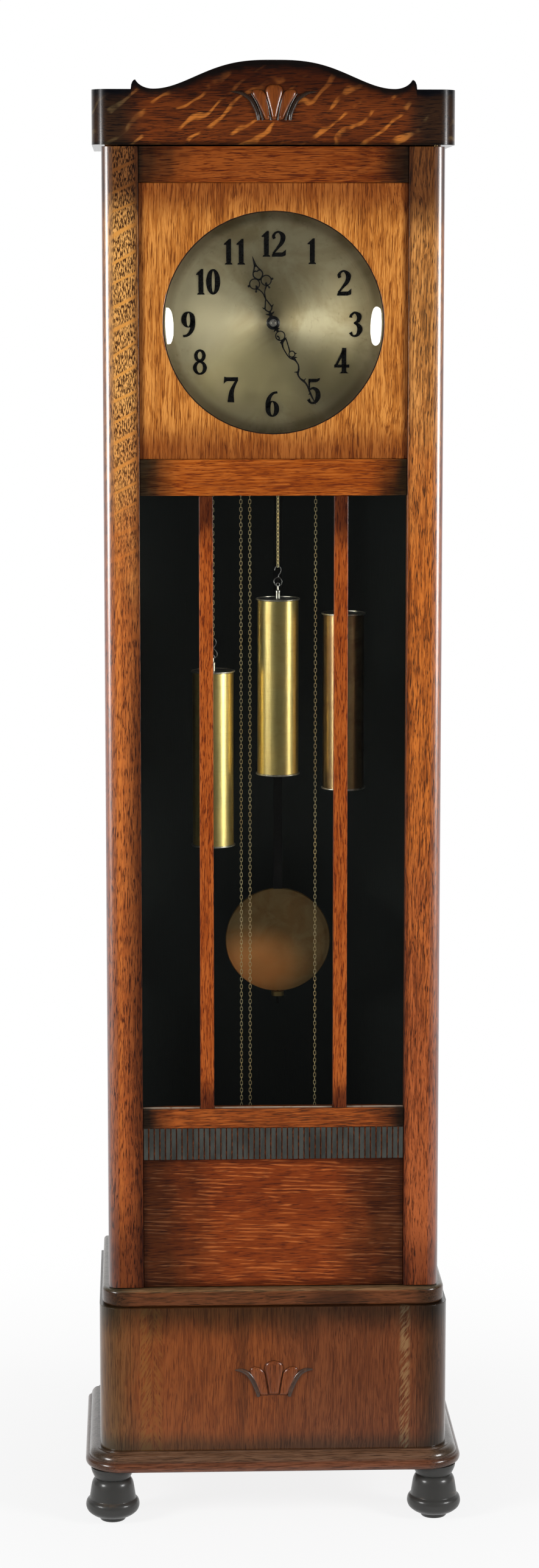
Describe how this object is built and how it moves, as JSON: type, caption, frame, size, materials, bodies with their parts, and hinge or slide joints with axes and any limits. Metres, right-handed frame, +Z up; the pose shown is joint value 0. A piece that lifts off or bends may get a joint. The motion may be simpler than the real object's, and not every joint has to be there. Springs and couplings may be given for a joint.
{
  "type": "longcase clock",
  "caption": "Tall oak longcase clock with a domed glass over a brass dial, a glazed door, hanging brass weights on chains, a pendulum and turned feet.",
  "frame": {"origin": "on the floor, under the middle of the bounding box", "axes": "+Z up, +X to the viewer's right, -Y out of the dial towards the viewer"},
  "size_m": [0.517, 0.3134, 1.9747],
  "materials": {
    "oak": "stained and polished quartersawn oak",
    "golden_oak": "golden stained oak, vertical grain",
    "red_oak": "reddish stained oak",
    "dark_oak": "dark stained oak, dull",
    "ebony": "ebonised wood, polished",
    "glass": "clear",
    "brass": "polished",
    "dial_brass": "brushed, antiqued",
    "copper_brass": "polished, darkened",
    "black_steel": "blackened"
  },
  "bodies": {
    "case": {"base_board": "oak", "plinth_cap": "oak", "case_side_left": "oak", "case_side_right": "oak", "hood_crest": "oak", "hood_side_left": "oak", "hood_side_right": "oak", "crest_carving": "oak", "plinth_front": "red_oak", "plinth_side_left": "red_oak", "plinth_side_right": "red_oak", "plinth_carving": "red_oak", "back_board": "dark_oak", "hood_top": "dark_oak", "seat_board": "dark_oak", "foot_front_left": "ebony", "foot_front_right": "ebony", "foot_back_left": "ebony", "foot_back_right": "ebony", "movement_front_plate": "brass", "movement_back_plate": "brass", "chain_left": "brass", "chain_centre": "brass", "chain_right": "brass", "dial_plate": "dial_brass", "door_pivot_bottom": "black_steel", "door_pivot_top": "black_steel"},
    "door": {"door_stile_left": "oak", "door_stile_right": "oak", "door_top_rail": "oak", "door_middle_rail": "oak", "door_lower_rail": "oak", "door_dial_panel": "golden_oak", "door_lower_panel": "red_oak", "door_reeded_strip": "ebony", "glazing_bar_left": "oak", "glazing_bar_right": "oak", "pane_left": "glass", "pane_centre": "glass", "pane_right": "glass", "dial_glass": "glass"},
    "minute_hand_body": {"minute_hand": "black_steel"},
    "hour_hand_body": {"hour_hand": "black_steel"},
    "pendulum": {"suspension_spring": "black_steel", "pendulum_rod": "dark_oak", "pendulum_bob": "copper_brass", "rating_nut": "brass"},
    "anchor": {"pallet_anchor": "black_steel"},
    "escape_wheel_body": {"escape_wheel": "brass"},
    "sprocket_left": {"chain_sprocket_left": "brass"},
    "hanging_weight_left": {"weight_left": "brass"},
    "chain_tail_left": {"chain_ring_left": "brass"},
    "sprocket_centre": {"chain_sprocket_centre": "brass"},
    "hanging_weight_centre": {"weight_centre": "brass"},
    "chain_tail_centre": {"chain_ring_centre": "brass"},
    "sprocket_right": {"chain_sprocket_right": "brass"},
    "hanging_weight_right": {"weight_right": "brass"},
    "chain_tail_right": {"chain_ring_right": "brass"}
  },
  "joints": [
    {"name": "door_hinge", "type": "hinge", "parent": "case", "child": "door", "pos_m": [0.213, -0.11125, 0.3285], "axis": [0, 0, 1], "range_deg": [0, 110]},
    {"name": "minute_hand_turn", "type": "hinge", "parent": "case", "child": "minute_hand_body", "pos_m": [0, -0.09375, 1.6357], "axis": [0, 1, 0], "continuous": true},
    {"name": "hour_hand_turn", "type": "hinge", "parent": "case", "child": "hour_hand_body", "pos_m": [0, -0.09375, 1.6357], "axis": [0, 1, 0], "continuous": true},
    {"name": "pendulum_swing", "type": "hinge", "parent": "case", "child": "pendulum", "pos_m": [0.012, 0.04405, 1.7005], "axis": [0, 1, 0], "range_deg": [-3, 3]},
    {"name": "anchor_rock", "type": "hinge", "parent": "case", "child": "anchor", "pos_m": [0.012, -0.01295, 1.7005], "axis": [0, 1, 0], "range_deg": [-3, 3]},
    {"name": "escape_wheel_turn", "type": "hinge", "parent": "case", "child": "escape_wheel_body", "pos_m": [0.012, -0.01295, 1.6645], "axis": [0, 1, 0], "continuous": true},
    {"name": "weight_left_slide", "type": "slide", "parent": "case", "child": "hanging_weight_left", "axis": [0, 0, 1], "range_m": [-0.56, 0.16], "deforming": ["chain_left"]},
    {"name": "chain_tail_left_slide", "type": "slide", "parent": "case", "child": "chain_tail_left", "axis": [0, 0, 1], "range_m": [-0.16, 0.56]},
    {"name": "sprocket_left_turn", "type": "hinge", "parent": "case", "child": "sprocket_left", "pos_m": [-0.06, -0.03395, 1.5855], "axis": [0, 1, 0], "range_deg": [-1699, 492]},
    {"name": "weight_centre_slide", "type": "slide", "parent": "case", "child": "hanging_weight_centre", "axis": [0, 0, 1], "range_m": [-0.66, 0.16], "deforming": ["chain_centre"]},
    {"name": "chain_tail_centre_slide", "type": "slide", "parent": "case", "child": "chain_tail_centre", "axis": [0, 0, 1], "range_m": [-0.16, 0.66]},
    {"name": "sprocket_centre_turn", "type": "hinge", "parent": "case", "child": "sprocket_centre", "pos_m": [-0.01, -0.03395, 1.5855], "axis": [0, 1, 0], "range_deg": [-492, 2000]},
    {"name": "weight_right_slide", "type": "slide", "parent": "case", "child": "hanging_weight_right", "axis": [0, 0, 1], "range_m": [-0.64, 0.16], "deforming": ["chain_right"]},
    {"name": "chain_tail_right_slide", "type": "slide", "parent": "case", "child": "chain_tail_right", "axis": [0, 0, 1], "range_m": [-0.16, 0.64]},
    {"name": "sprocket_right_turn", "type": "hinge", "parent": "case", "child": "sprocket_right", "pos_m": [0.079, -0.03395, 1.5855], "axis": [0, 1, 0], "range_deg": [-492, 1940]}
  ],
  "couplings": [
    {"joint": "hour_hand_turn", "follows": "minute_hand_turn", "ratio": 0.083333},
    {"joint": "anchor_rock", "follows": "pendulum_swing", "ratio": 1},
    {"joint": "chain_tail_left_slide", "follows": "weight_left_slide", "ratio": -1},
    {"joint": "sprocket_left_turn", "follows": "weight_left_slide", "rad_per_m": 52.632},
    {"joint": "chain_tail_centre_slide", "follows": "weight_centre_slide", "ratio": -1},
    {"joint": "sprocket_centre_turn", "follows": "weight_centre_slide", "rad_per_m": -52.632},
    {"joint": "chain_tail_right_slide", "follows": "weight_right_slide", "ratio": -1},
    {"joint": "sprocket_right_turn", "follows": "weight_right_slide", "rad_per_m": -52.632}
  ]
}
